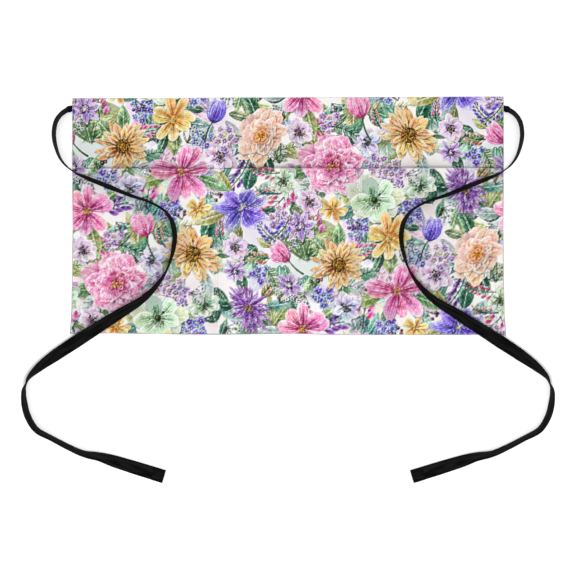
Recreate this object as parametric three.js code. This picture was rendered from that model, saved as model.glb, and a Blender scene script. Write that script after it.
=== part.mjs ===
// A waist apron lying flat with its front up: a hemmed cloth panel, a pocket panel sewn
// over its lower part into three pockets, and two woven tape ties.
// Millimetres. +X runs to the right of the front, +Y to the waist edge, +Z up off the front.
// The origin is under the middle of the panel, on the surface it lies on.

import * as THREE from 'three';

// Cloth panel. The hem is a second layer turned under along all four edges.
const PANEL_WIDTH = 600;
const PANEL_HEIGHT = 330;
const CLOTH = 1.2;
const HEM_WIDTH = 15;
const HEM_EXTRA = 1;
const HEM_STEP = 1.5;
// How the laid edges leave the rectangle: the lower corners spread, the waist edge and the
// bottom edge part a little to the right, and the bottom edge waves.
const CORNER_FLARE = 3.5;
const FLARE_POWER = 6;
const EDGE_TILT = 1.2;
const BOTTOM_WAVE = 0.5;
const BOTTOM_WAVES = 2.5;
const PANEL_CELLS = { across: 20, up: 12 };

// Pocket panel. Each pocket arches off the panel by its gape at the middle of its mouth.
const POCKET_HEIGHT = 231;
const POCKET_INSET = 1;
const POCKETS = 3;
const POCKET_GAPE = 15;
const GAPE_POWER = 1.4;
const MOUTH_HEM = 18;
const MOUTH_EXTRA = 0.8;
const SEAM_DIP = 10;
const SEWN_GAP = 0.3;
const POCKET_CELLS = { across: 10, up: 8 };

// Tape ties. The free end is folded back on itself.
const TAPE_WIDTH = 19;
const TAPE = 1;
const TAPE_GAP = 0.3;
const TIE_SEAT = 0.25;
const TIE_FOLD = 16;
const STEPS_PER_ROW = 3;
const STEPS_EASED = 3;
// A tie runs behind the panel above this height, and over its front below it.
const BEHIND_ABOVE = 100;

// The hollow behind the panel's upper corners where a tie's gathered end is sewn
const SEAT = { in: 36, low: 141, high: 160, height: 1.6, ramp: 3 };

// The left tie from its sewn end to its free end; the right tie mirrors it. The lean is
// the tape's turn about its run: 0 and 180 lie flat, 90 stands on edge. The gather is the
// share of the tape's width that is left where it is drawn together, 1 where none is given.
const TIE_ROUTE = [
  { x: -270, y: 152.2, lean: 0, gather: 0.44 },
  { x: -286, y: 151.4, lean: 0, gather: 0.44 },
  { x: -302, y: 149.4, lean: 0, gather: 0.44 },
  { x: -308, y: 147, lean: 58, gather: 0.66 },
  { x: -315.5, y: 141.8, lean: 70 },
  { x: -322.5, y: 132, lean: 70 },
  { x: -325.6, y: 118, lean: 71 },
  { x: -324.8, y: 104, lean: 72.5 },
  { x: -318.4, y: 83, lean: 79 },
  { x: -310, y: 70.8, lean: 84 },
  { x: -299, y: 61.7, lean: 92 },
  { x: -277, y: 51.5, lean: 106 },
  { x: -247.9, y: 40, lean: 109 },
  { x: -220, y: 28.7, lean: 103 },
  { x: -191, y: 18.5, lean: 96 },
  { x: -171, y: 6.5, lean: 98 },
  { x: -161, y: -8.5, lean: 108 },
  { x: -157.5, y: -25, lean: 109 },
  { x: -159, y: -44.6, lean: 106 },
  { x: -167.6, y: -73, lean: 94 },
  { x: -181.6, y: -95.4, lean: 107 },
  { x: -202, y: -115.8, lean: 120 },
  { x: -235.4, y: -136.8, lean: 139 },
  { x: -295.8, y: -175.4, lean: 158 },
  { x: -323.2, y: -193.6, lean: 150 },
  { x: -346.3, y: -210.6, lean: 128 },
  { x: -362, y: -226.4, lean: 102 },
  { x: -367.5, y: -242.2, lean: 71 },
  { x: -366.5, y: -261.7, lean: 61 },
  { x: -361.5, y: -279.9, lean: 60 },
  { x: -350, y: -297.6, lean: 62 },
  { x: -329, y: -309.3, lean: 66 },
  { x: -305.2, y: -321.8, lean: 64 },
  { x: -284, y: -331, lean: 61 },
  { x: -262, y: -335.2, lean: 48 },
  { x: -242.2, y: -341.2, lean: 28 },
  { x: -207, y: -352.1, lean: 12 },
  { x: -172.2, y: -362.7, lean: 10 },
];

const COLOURS = { print: 0xd8cbd6, pocket: 0xd2c8d8, tape: 0x141414 };

const HALF_WIDTH = PANEL_WIDTH / 2;
const HALF_HEIGHT = PANEL_HEIGHT / 2;
const POCKET_HALF = HALF_WIDTH - POCKET_INSET;
const POCKET_LOW = -HALF_HEIGHT + POCKET_INSET;
const POCKET_MOUTH = -HALF_HEIGHT + POCKET_HEIGHT;
const POCKET_WIDTH = (2 * POCKET_HALF) / POCKETS;
const { clamp, degToRad, lerp } = THREE.MathUtils;

// How far a height on the panel is from its top edge, 0, to its bottom edge, 1.
const howLow = (y) => clamp((HALF_HEIGHT - y) / PANEL_HEIGHT, 0, 1);

// A flat place on the panel moved to where the real cloth's edges lie: the sides spread at
// the bottom corners, the waist edge rises to the right and the bottom edge waves.
function laidOut(x, y) {
  const low = howLow(y);
  const across = x / HALF_WIDTH;
  const wave = BOTTOM_WAVE * Math.cos(BOTTOM_WAVES * Math.PI * across);
  const tilt = EDGE_TILT * across;
  return {
    x: x + across * CORNER_FLARE * low ** FLARE_POWER,
    y: y + lerp(tilt, wave - tilt, low),
  };
}

// 1 on the hem, falling to 0 inside it.
function onHem(x, y) {
  const inside = Math.min(HALF_WIDTH - Math.abs(x), HALF_HEIGHT - Math.abs(y));
  return clamp((HEM_WIDTH - inside) / HEM_STEP, 0, 1);
}

// 1 over a tie's sewn end, falling to 0 around it.
function onSeat(x, y) {
  const side = (Math.abs(x) - (HALF_WIDTH - SEAT.in)) / SEAT.ramp;
  const below = (y - SEAT.low) / SEAT.ramp;
  const above = (SEAT.high - y) / SEAT.ramp;
  return clamp(Math.min(side, below, above), 0, 1);
}

const panelUnder = (x, y) => SEAT.height * onSeat(x, y);
const panelTop = (x, y) => panelUnder(x, y) + CLOTH + HEM_EXTRA * onHem(x, y) * (1 - onSeat(x, y));

// The seams that divide the pocket panel into pockets.
const SEAMS = Array.from({ length: POCKETS - 1 }, (_, i) => -POCKET_HALF + (i + 1) * POCKET_WIDTH);

// The pocket cloth's underside: it lies on the hems, dips to the panel on the seams and
// arches off the panel between them, most at the mouth.
function pocketUnder(x, y) {
  const across = ((x + POCKET_HALF) / POCKET_WIDTH) % 1;
  const up = clamp((y - POCKET_LOW) / (POCKET_MOUTH - POCKET_LOW), 0, 1);
  const arch = POCKET_GAPE * Math.sin(Math.PI * across) * up ** GAPE_POWER;
  const near = Math.min(...SEAMS.map((seam) => Math.abs(x - seam)));
  const clearOfHem = clamp((y + HALF_HEIGHT - HEM_WIDTH - HEM_STEP) / SEAM_DIP, 0, 1);
  const dip = HEM_EXTRA * clamp(1 - near / SEAM_DIP, 0, 1) * clearOfHem;
  return CLOTH + HEM_EXTRA + SEWN_GAP + arch - dip;
}

function pocketTop(x, y) {
  const onMouthHem = clamp((y - POCKET_MOUTH + MOUTH_HEM) / HEM_STEP, 0, 1);
  return pocketUnder(x, y) + CLOTH + MOUTH_EXTRA * onMouthHem;
}

// The height that a tie has to clear at a place on the table or on the apron's front.
function restsOn(x, y) {
  if (y > BEHIND_ABOVE || Math.abs(x) > HALF_WIDTH + CORNER_FLARE) return 0;
  if (Math.abs(y) > HALF_HEIGHT + EDGE_TILT + BOTTOM_WAVE) return 0;
  const inPockets = Math.abs(x) < POCKET_HALF + CORNER_FLARE && y < POCKET_MOUTH;
  const heldX = clamp(x, -POCKET_HALF, POCKET_HALF);
  return inPockets ? pocketTop(heldX, Math.max(y, POCKET_LOW)) : panelTop(x, y);
}

// Even cell borders from one limit to the other, with chosen places added.
function borders(from, to, cells, added) {
  const even = Array.from({ length: cells + 1 }, (_, i) => lerp(from, to, i / cells));
  return [...new Set([...even, ...added])].sort((a, b) => a - b);
}

// A closed cloth wall over a grid of columns and rows, between two heights.
function clothWall(columns, rows, under, top) {
  const wide = columns.length;
  const points = [];
  for (const height of [under, top]) {
    for (const y of rows) {
      for (const x of columns) {
        const place = laidOut(x, y);
        points.push(place.x, place.y, height(x, y));
      }
    }
  }
  const layer = wide * rows.length;
  const quad = (a, b, c, d) => [a, b, c, a, c, d];
  const faces = [];
  for (let j = 0; j + 1 < rows.length; j += 1) {
    for (let i = 0; i + 1 < wide; i += 1) {
      const a = j * wide + i;
      faces.push(...quad(a, a + wide, a + wide + 1, a + 1));
      faces.push(...quad(layer + a, layer + a + 1, layer + a + wide + 1, layer + a + wide));
    }
    const left = j * wide;
    const right = left + wide - 1;
    faces.push(...quad(left, layer + left, layer + left + wide, left + wide));
    faces.push(...quad(right, right + wide, layer + right + wide, layer + right));
  }
  for (let i = 0; i + 1 < wide; i += 1) {
    const back = layer - wide + i;
    faces.push(...quad(i, i + 1, layer + i + 1, layer + i));
    faces.push(...quad(back, layer + back, layer + back + 1, back + 1));
  }
  return indexed(points, faces);
}

function indexed(points, faces) {
  const geometry = new THREE.BufferGeometry();
  geometry.setAttribute('position', new THREE.Float32BufferAttribute(points, 3));
  geometry.setIndex(faces);
  return geometry;
}

function apronPanel() {
  const hemX = HALF_WIDTH - HEM_WIDTH;
  const hemY = HALF_HEIGHT - HEM_WIDTH;
  const seatX = HALF_WIDTH - SEAT.in;
  const columnsAdded = [hemX, hemX + HEM_STEP, seatX, seatX + SEAT.ramp].flatMap((x) => [-x, x]);
  const rowsAdded = [-hemY, -hemY - HEM_STEP, hemY, hemY + HEM_STEP];
  const seatRows = [SEAT.low, SEAT.low + SEAT.ramp, SEAT.high - SEAT.ramp, SEAT.high];
  const columns = borders(-HALF_WIDTH, HALF_WIDTH, PANEL_CELLS.across, columnsAdded);
  const rows = borders(-HALF_HEIGHT, HALF_HEIGHT, PANEL_CELLS.up, [...rowsAdded, ...seatRows]);
  return clothWall(columns, rows, panelUnder, panelTop);
}

function pocketPanel() {
  const besideSeams = SEAMS.flatMap((seam) => [seam - SEAM_DIP, seam + SEAM_DIP]);
  const mouthHem = POCKET_MOUTH - MOUTH_HEM;
  const bottomHem = -HALF_HEIGHT + HEM_WIDTH + HEM_STEP;
  const rowsAdded = [bottomHem, bottomHem + SEAM_DIP, mouthHem, mouthHem + HEM_STEP];
  const columns = borders(-POCKET_HALF, POCKET_HALF, POCKETS * POCKET_CELLS.across, besideSeams);
  const rows = borders(POCKET_LOW, POCKET_MOUTH, POCKET_CELLS.up, rowsAdded);
  return clothWall(columns, rows, pocketUnder, pocketTop);
}

// Stations along the left tie: its middle, its run, and how it lies, before it is set down.
function tieRun() {
  const curve = new THREE.CatmullRomCurve3(TIE_ROUTE.map((row) => new THREE.Vector3(row.x, row.y, 0)));
  const last = TIE_ROUTE.length - 1;
  return Array.from({ length: last * STEPS_PER_ROW + 1 }, (_, i) => {
    const along = i / STEPS_PER_ROW;
    const at = Math.min(Math.floor(along), last - 1);
    const [row, next] = TIE_ROUTE.slice(at, at + 2);
    const lean = degToRad(lerp(row.lean, next.lean, along - at));
    const gather = lerp(row.gather ?? 1, next.gather ?? 1, along - at);
    const run = curve.getTangent(along / last);
    const side = new THREE.Vector3(-run.y, run.x, 0);
    return {
      middle: curve.getPoint(along / last),
      run,
      across: side.multiplyScalar(Math.cos(lean)).setZ(Math.sin(lean)),
      width: TAPE_WIDTH * gather,
      thickness: TAPE,
    };
  });
}

// How far a station's middle stands above its own lowest corner.
const ownRise = ({ across, width }) =>
  (width / 2) * across.z + (TAPE / 2) * Math.hypot(across.x, across.y);

// The least lift of a station's lowest corner that keeps the tape clear of what is under it.
function lift(station) {
  const { middle, across, width } = station;
  const lifts = [-0.5, -0.25, 0, 0.25, 0.5].map((part) => {
    const reach = part * width;
    const ground = restsOn(middle.x + reach * across.x, middle.y + reach * across.y);
    const gap = ground > 0 ? TAPE_GAP : TIE_SEAT;
    return ground + gap - (reach + width / 2) * across.z;
  });
  return Math.max(...lifts);
}

// Lifts eased along the run: the highest of the near ones, then their mean, so that none
// falls below what was asked.
function eased(lifts) {
  const around = (list, i) => list.slice(Math.max(0, i - STEPS_EASED), i + STEPS_EASED + 1);
  const raised = lifts.map((_, i) => Math.max(...around(lifts, i)));
  return raised.map((_, i) => {
    const near = around(raised, i);
    return near.reduce((sum, each) => sum + each, 0) / near.length;
  });
}

// The free end is turned back on itself: the tape is double over the last stretch.
function foldEnd(stations) {
  const end = stations.at(-1);
  const before = stations.at(-2);
  const back = end.middle.clone().sub(end.run.clone().multiplyScalar(TIE_FOLD));
  const rise = end.run.clone().cross(end.across).multiplyScalar(TAPE / 2);
  const single = { ...before, middle: back };
  const step = end.run.clone().multiplyScalar(TAPE_GAP);
  const double = { ...end, middle: back.clone().add(step).add(rise), thickness: 2 * TAPE };
  const last = { ...end, middle: end.middle.clone().add(rise), thickness: 2 * TAPE };
  return [...stations.slice(0, -2), single, double, last];
}

// A closed tape lofted through four corners at each station; side 1 or -1 mirrors it.
function tieSolid(stations, side) {
  const points = [];
  const corners = [[-1, -1], [1, -1], [1, 1], [-1, 1]];
  for (const { middle, run, across, width, thickness } of stations) {
    const out = run.clone().cross(across);
    for (const [edge, face] of corners) {
      const corner = middle
        .clone()
        .addScaledVector(across, (edge * width) / 2)
        .addScaledVector(out, (face * thickness) / 2);
      points.push(side * corner.x, corner.y, corner.z);
    }
  }
  const faces = [0, 2, 1, 0, 3, 2];
  // Opposite sides are split along the same diagonal, so a twist keeps the tape's thickness.
  for (let s = 0; s + 1 < stations.length; s += 1) {
    for (let k = 0; k < 4; k += 1) {
      const a = 4 * s + k;
      const b = 4 * s + ((k + 1) % 4);
      if (k < 2) faces.push(a, b, b + 4, a, b + 4, a + 4);
      else faces.push(a, b, a + 4, b, b + 4, a + 4);
    }
  }
  const end = 4 * (stations.length - 1);
  faces.push(end, end + 1, end + 2, end, end + 2, end + 3);
  return indexed(points, side > 0 ? faces : faces.toReversed());
}

function tieStations() {
  const stations = tieRun();
  const lifts = eased(stations.map(lift));
  stations.forEach((station, i) => station.middle.setZ(lifts[i] + ownRise(station)));
  return foldEnd(stations);
}

function piece(name, geometry, colour) {
  geometry.computeVertexNormals();
  const cloth = new THREE.MeshStandardMaterial({ color: colour, roughness: 0.9, metalness: 0 });
  const mesh = new THREE.Mesh(geometry, cloth);
  mesh.name = name;
  return mesh;
}

const tie = tieStations();
const apron = new THREE.Group();
apron.name = 'waist_apron';
apron.add(
  piece('apron_panel', apronPanel(), COLOURS.print),
  piece('pocket_panel', pocketPanel(), COLOURS.pocket),
  piece('tie_left', tieSolid(tie, 1), COLOURS.tape),
  piece('tie_right', tieSolid(tie, -1), COLOURS.tape),
);

export default apron;
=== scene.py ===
# %% [markdown]
# # A printed waist apron
# A waist apron is a hemmed panel of printed cloth. A second, lower layer is sewn over it into
# pockets, and a woven tape at each upper corner ties round the waist. Here it lies flat on a
# pale table, front up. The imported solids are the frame: each is replaced by finer cloth or tape
# that lies in the same place, so the sizes below repeat the model's own, in millimetres.

# %% Load the frame
from functools import partial

import bmesh
import bpy
import numpy as np
from mathutils import Matrix, Vector


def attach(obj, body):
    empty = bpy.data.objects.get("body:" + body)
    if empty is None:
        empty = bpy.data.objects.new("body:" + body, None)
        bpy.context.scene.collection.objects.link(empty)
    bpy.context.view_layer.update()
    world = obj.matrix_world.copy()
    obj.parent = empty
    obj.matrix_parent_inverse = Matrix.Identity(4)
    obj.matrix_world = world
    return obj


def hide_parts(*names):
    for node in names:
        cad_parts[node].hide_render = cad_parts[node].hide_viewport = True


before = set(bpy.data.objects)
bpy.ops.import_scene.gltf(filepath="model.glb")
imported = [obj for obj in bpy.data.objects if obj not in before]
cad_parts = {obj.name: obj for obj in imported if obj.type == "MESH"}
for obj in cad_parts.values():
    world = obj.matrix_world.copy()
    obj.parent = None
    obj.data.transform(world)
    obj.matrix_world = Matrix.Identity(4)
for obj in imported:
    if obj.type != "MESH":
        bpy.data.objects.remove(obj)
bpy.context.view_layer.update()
MM = 0.001

# %% [markdown]
# ## The camera
# The photograph looks straight down, and one of its pixels covers 1.392 mm of table. A camera
# that isn't turned already looks down in Blender. A very long lens from twelve metres up keeps
# the raised edges of the tape from leaning outwards, as in a studio picture of flat goods.

# %% Camera
PIXEL = 1.392
IMAGE_SIDE = 576
ORIGIN_ROW = 216
CAMERA_HEIGHT = 12.0
view_side = IMAGE_SIDE * PIXEL * MM

camera = bpy.data.objects.new("camera", bpy.data.cameras.new("camera"))
camera.data.lens = camera.data.sensor_width * CAMERA_HEIGHT / view_side
camera.location = (0, (ORIGIN_ROW - IMAGE_SIDE / 2) * PIXEL * MM, CAMERA_HEIGHT)
bpy.context.collection.objects.link(camera)
bpy.context.scene.camera = camera
print("lens, mm:", round(camera.data.lens, 1), "view, m:", round(view_side, 3))

# %% [markdown]
# ## How the panel lies
# The panel was cut and hemmed as a rectangle, but its edges lie a little off it: the lower
# corners spread, the waist edge climbs slightly and the bottom edge waves. Functions that take
# a flat place on the cloth and give where it lies, and how high, let the cloth, its stitches
# and the tapes on top all agree. They work on whole arrays of places at once.

# %% The lie of the panel
HALF_WIDE, HALF_HIGH = 300, 165
CLOTH = 1.2
HEM_WIDE, HEM_EXTRA, HEM_STEP = 15, 1.0, 1.5
SEAT_IN, SEAT_LOW, SEAT_HIGH, SEAT_RISE, SEAT_RAMP = 36, 141, 160, 1.6, 3
WAIST_CLIMB, CORNER_SPREAD, SPREAD_POWER = 1.2, 3.5, 6
BOTTOM_WAVE, WAVES = 0.5, 2.5
PANEL_CORNERS = (-HALF_WIDE, -HALF_HIGH), (HALF_WIDE, HALF_HIGH)


def ramp(low, high, value):
    """0 below low, 1 above high, and even between them."""
    return np.clip((value - low) / (high - low), 0, 1)


def laid_out(x, y):
    """Where a flat place on the cloth lies on the table."""
    low, across = ramp(HALF_HIGH, -HALF_HIGH, y), x / HALF_WIDE
    tilt, wave = WAIST_CLIMB * across, BOTTOM_WAVE * np.cos(WAVES * np.pi * across)
    spread = CORNER_SPREAD * across * low**SPREAD_POWER
    return x + spread, y + tilt + (wave - 2 * tilt) * low


def from_edge(x, y):
    return np.minimum(HALF_WIDE - np.abs(x), HALF_HIGH - np.abs(y))


def on_seat(x, y):
    """1 over the hollow behind an upper corner where a tape's end is sewn."""
    side = ramp(HALF_WIDE - SEAT_IN, HALF_WIDE - SEAT_IN + SEAT_RAMP, np.abs(x))
    lower = ramp(SEAT_LOW, SEAT_LOW + SEAT_RAMP, y)
    upper = ramp(SEAT_HIGH, SEAT_HIGH - SEAT_RAMP, y)
    return np.minimum(side, np.minimum(lower, upper))


def panel_under(x, y):
    return SEAT_RISE * on_seat(x, y)


def panel_top(x, y):
    hem = ramp(HEM_WIDE, HEM_WIDE - HEM_STEP, from_edge(x, y))
    return panel_under(x, y) + CLOTH + HEM_EXTRA * hem * (1 - on_seat(x, y))


print("panel height on its hem and inside it, mm:", panel_top(0, HALF_HIGH), panel_top(0, 0))

# %% [markdown]
# ## How the pocket layer lies
# The pocket layer is caught in the side and bottom hems and sewn down on two upright seams,
# which makes three pockets that open towards the waist. Each pocket stands off the panel most
# at the middle of its mouth. One sine arch between the seams, growing towards the mouth, gives
# that soft gape, and the cloth dips to the panel along the seams.

# %% The lie of the pockets
POCKET_HALF, POCKET_LOW, POCKET_MOUTH = 299, -164, 66
POCKET_WIDE = 2 * POCKET_HALF / 3
POCKET_GAPE, GAPE_POWER = 15, 1.4
SEAMS = (-POCKET_WIDE / 2, POCKET_WIDE / 2)
SEAM_DIP, SEWN_GAP = 10, 0.3
MOUTH_HEM, MOUTH_EXTRA = 18, 0.8
POCKET_CORNERS = (-POCKET_HALF, POCKET_LOW), (POCKET_HALF, POCKET_MOUTH)


def pocket_under(x, y):
    up = ramp(POCKET_LOW, POCKET_MOUTH, y)
    arch = POCKET_GAPE * np.abs(np.sin(np.pi * (x + POCKET_HALF) / POCKET_WIDE)) * up**GAPE_POWER
    near_seam = ramp(SEAM_DIP, 0, np.minimum(np.abs(x - SEAMS[0]), np.abs(x - SEAMS[1])))
    above_hem = ramp(0, SEAM_DIP, y + HALF_HIGH - HEM_WIDE - HEM_STEP)
    return CLOTH + HEM_EXTRA + SEWN_GAP + arch - HEM_EXTRA * near_seam * above_hem


def pocket_top(x, y):
    mouth_hem = ramp(POCKET_MOUTH - MOUTH_HEM, POCKET_MOUTH - MOUTH_HEM + HEM_STEP, y)
    return pocket_under(x, y) + CLOTH + MOUTH_EXTRA * mouth_hem


mouth_heights = [round(pocket_top(x, POCKET_MOUTH), 1) for x in (SEAMS[0], 0)]
print("pocket mouth's height at a seam and in the middle, mm:", mouth_heights)

# %% [markdown]
# ## The tapes' route
# Each tie is one length of woven tape. It is sewn behind an upper corner, loops out and back
# over the pockets, and runs down past the lower corner to a folded end. Tape won't bend in its
# own plane, so it stands on edge round the curves and lies flat on the straights. The table
# gives places along the left tape and its lean: 0 and 180 lie flat, 90 stands on edge. The
# sewn end is gathered, so that only a share of the width is left at the first few places.
# The right tape is the mirror image.

# %% Route of the left tape
TAPE_WIDE, TAPE = 19, 1.0
ROUTE = np.array([  # x, y, lean in degrees
    (-270, 152.2, 0), (-286, 151.4, 0), (-302, 149.4, 0), (-308, 147, 58), (-315.5, 141.8, 70),
    (-322.5, 132, 70), (-325.6, 118, 71), (-324.8, 104, 72.5), (-318.4, 83, 79), (-310, 70.8, 84),
    (-299, 61.7, 92), (-277, 51.5, 106), (-247.9, 40, 109), (-220, 28.7, 103), (-191, 18.5, 96),
    (-171, 6.5, 98), (-161, -8.5, 108), (-157.5, -25, 109), (-159, -44.6, 106), (-167.6, -73, 94),
    (-181.6, -95.4, 107), (-202, -115.8, 120), (-235.4, -136.8, 139), (-295.8, -175.4, 158),
    (-323.2, -193.6, 150), (-346.3, -210.6, 128), (-362, -226.4, 102), (-367.5, -242.2, 71),
    (-366.5, -261.7, 61), (-361.5, -279.9, 60), (-350, -297.6, 62), (-329, -309.3, 66),
    (-305.2, -321.8, 64), (-284, -331, 61), (-262, -335.2, 48), (-242.2, -341.2, 28),
    (-207, -352.1, 12), (-172.2, -362.7, 10),
])
GATHERED = (0.44, 0.44, 0.44, 0.66, 1)
STEPS = 6


def line_through(points):
    """A smooth line through the points, with its direction, at STEPS places to each span."""
    ends = np.vstack([2 * points[0] - points[1], points, 2 * points[-1] - points[-2]])
    knot = np.sqrt(np.linalg.norm(np.diff(ends, axis=0), axis=1))[:, None]
    share = np.arange((len(points) - 1) * STEPS + 1) / STEPS
    at = np.minimum(share.astype(int), len(points) - 2)
    u = (share - at)[:, None]
    a, b, c, d = (ends[at + k] for k in range(4))
    ka, kb, kc = (knot[at + k] for k in range(3))
    leave = ((b - a) / ka - (c - a) / (ka + kb) + (c - b) / kb) * kb
    reach = ((c - b) / kb - (d - b) / (kb + kc) + (d - c) / kc) * kb
    square, cube = 3 * (c - b) - 2 * leave - reach, 2 * (b - c) + leave + reach
    run = leave + 2 * square * u + 3 * cube * u**2
    return b + leave * u + square * u**2 + cube * u**3, run / np.linalg.norm(run, axis=1)[:, None], share


middle, run, share = line_through(ROUTE[:, :2])
lean = np.radians(np.interp(share, range(len(ROUTE)), ROUTE[:, 2]))
width = TAPE_WIDE * np.interp(share, range(len(GATHERED)), GATHERED)
print("tape stations:", len(share))

# %% [markdown]
# ## Setting the tapes down
# A tape rests on whatever is under its lower edge: the table, the panel or the pockets. Each
# station asks for the height of the ground under five places across the tape and is lifted just
# clear of the highest. The lifts are then eased along the run, as a stiffish tape bridges small
# steps instead of following them.

# %% Heights along the tape
TAPE_GAP, TABLE_GAP = 0.3, 0.25
BEHIND_ABOVE = 100


def ground(x, y):
    """The height under a place: the table, or the apron's front where a tape lies over it."""
    held_x, held_y = np.clip(x, -POCKET_HALF, POCKET_HALF), np.maximum(y, POCKET_LOW)
    wide, high = HALF_WIDE + CORNER_SPREAD, HALF_HIGH + WAIST_CLIMB + BOTTOM_WAVE
    on_cloth = (y < BEHIND_ABOVE) & (np.abs(x) < wide) & (np.abs(y) < high)
    in_pockets = (np.abs(x) < POCKET_HALF + CORNER_SPREAD) & (y < POCKET_MOUTH)
    return np.where(on_cloth, np.where(in_pockets, pocket_top(held_x, held_y), panel_top(x, y)), 0)


def around(values, pick):
    """Each value replaced by the pick, such as the highest, of those near it."""
    return np.array([pick(values[max(0, i - STEPS) : i + STEPS + 1]) for i in range(len(values))])


side = np.stack([-run[:, 1], run[:, 0]], axis=1)
across = np.column_stack([side * np.cos(lean)[:, None], np.sin(lean)])
reaches = np.outer(np.linspace(-0.5, 0.5, 5), width)
under = ground(middle[:, 0] + reaches * across[:, 0], middle[:, 1] + reaches * across[:, 1])
lifts = under + np.where(under > 0, TAPE_GAP, TABLE_GAP) - (reaches + width / 2) * across[:, 2]
height = around(around(lifts.max(axis=0), max), np.mean)
height = height + width / 2 * across[:, 2] + TAPE / 2 * np.abs(np.cos(lean))
middle = np.column_stack([middle, height])
run = np.column_stack([run, np.zeros(len(run))])
print("tape's highest middle, mm:", round(height.max(), 1))

# %% [markdown]
# ## The folded end
# A cut tape frays, so its free end is turned back on itself and sewn down. More stations carry
# the tape round a tight half turn and 16 mm back along its own top.

# %% Fold the free end
FOLD, FOLD_GAP = 16, 0.1
BEND_STEPS, BACK_STEPS = 8, 4
fold_radius = (TAPE + FOLD_GAP) / 2
end, ahead, wide = middle[-1] - run[-1] * (fold_radius + TAPE / 2), run[-1], across[-1]
up = np.cross(ahead, wide)
turn = np.linspace(0, np.pi, BEND_STEPS)[:, None]
bend = end + fold_radius * (np.sin(turn) * ahead + (1 - np.cos(turn)) * up)
back = bend[-1] - np.linspace(0, 1, BACK_STEPS + 1)[1:, None] * FOLD * ahead
middle = np.vstack([middle[:-1], bend, back])
turning = np.cos(turn) * ahead + np.sin(turn) * up
run = np.vstack([run[:-1], turning, np.tile(-ahead, (BACK_STEPS, 1))])
across = np.vstack([across[:-1], np.tile(wide, (BEND_STEPS + BACK_STEPS, 1))])
width = np.append(width[:-1], np.full(BEND_STEPS + BACK_STEPS, width[-1]))

# %% [markdown]
# ## The tape's mesh
# A flat grid is one operator away, and rolling it up makes the tape: one side of the grid runs
# along the tape and the other round its edge. The ring is a little thicker at both edges, where
# a woven tape has its selvedges. Where the tape stands on edge it cups slightly, as limp tape
# does in a bend, and most in the free bend below the apron. The grid's UV map is stretched to
# true lengths, so that the weave can follow the tape.

# %% Roll a grid into a tape
CUP, FREE_CUP = 0.9, 1.8
FREE_FROM, FREE_BELOW = -190, -215
WELD = 1e-7
TAPE_RING = np.array([  # across and through, as shares of half the width and half the thickness
    (-0.95, -1), (-0.84, -0.82), (-0.4, -0.9), (0, -0.92), (0.4, -0.9), (0.84, -0.82), (0.95, -1),
    (1, -0.5), (1, 0.5),
    (0.95, 1), (0.84, 0.82), (0.4, 0.9), (0, 0.92), (-0.4, 0.9), (-0.84, 0.82), (-0.95, 1),
    (-1, 0.5), (-1, -0.5),
])


def tape(name, mirror):
    """A closed tape mesh; mirror is 1 for the left tape and -1 for the right."""
    out = np.cross(run, across)
    flat = TAPE_RING[None, :, 0, None] * (width / 2)[:, None, None] * across[:, None]
    cup = CUP + (FREE_CUP - CUP) * ramp(FREE_FROM, FREE_BELOW, middle[:, 1])
    cupped = (cup * across[:, 2] ** 4)[:, None] * (1 - TAPE_RING[None, :, 0] ** 2)
    through = TAPE_RING[None, :, 1] * TAPE / 2 - cupped
    solid = middle[:, None] + flat + through[:, :, None] * out[:, None]
    solid = solid * (mirror * MM, MM, MM)
    gone = np.append(0, np.cumsum(np.linalg.norm(np.diff(middle, axis=0), axis=1))) * MM
    girth = np.append(TAPE_RING[:, 0] * TAPE_WIDE / 2, TAPE_RING[0, 0] * TAPE_WIDE / 2) * MM

    bm = bmesh.new()
    uv = bm.loops.layers.uv.new("tape")
    bmesh.ops.create_grid(bm, x_segments=len(run) - 1, y_segments=len(TAPE_RING), size=0.5)
    for vertex in bm.verts:
        along = round((vertex.co.x + 0.5) * (len(run) - 1))
        round_it = round((vertex.co.y + 0.5) * len(TAPE_RING))
        vertex.co = solid[along, round_it % len(TAPE_RING)]
        for loop in vertex.link_loops:
            loop[uv].uv = (gone[along], girth[round_it])
    bmesh.ops.remove_doubles(bm, verts=bm.verts, dist=WELD)
    bmesh.ops.holes_fill(bm, edges=[e for e in bm.edges if e.is_boundary])
    bmesh.ops.recalc_face_normals(bm, faces=bm.faces)
    return finished(name, bm)


def finished(name, bm):
    """Makes the bmesh an object at the origin, smooth shaded."""
    mesh = bpy.data.meshes.new(name)
    bm.to_mesh(mesh)
    bm.free()
    mesh.shade_smooth()
    made = bpy.data.objects.new(name, mesh)
    bpy.context.collection.objects.link(made)
    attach(made, "root")
    return made


HANDS = {"tie_left": 1, "tie_right": -1}
ties = {name: tape(name + "_tape", mirror) for name, mirror in HANDS.items()}
print("faces of a tape:", len(ties["tie_left"].data.polygons))

# %% [markdown]
# ## Stitches, first on the tapes
# Lockstitch shows as a row of short raised threads. Each is a small stretched ball, sunk half
# into what it holds. Two rows cross the tape where its fold is sewn down.

STITCH_PITCH, STITCH_LONG, THREAD = 3.2, 2.6, 0.5
FOLD_ROWS, ROW_INSET = (3, FOLD - 2.5), 2


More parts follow.
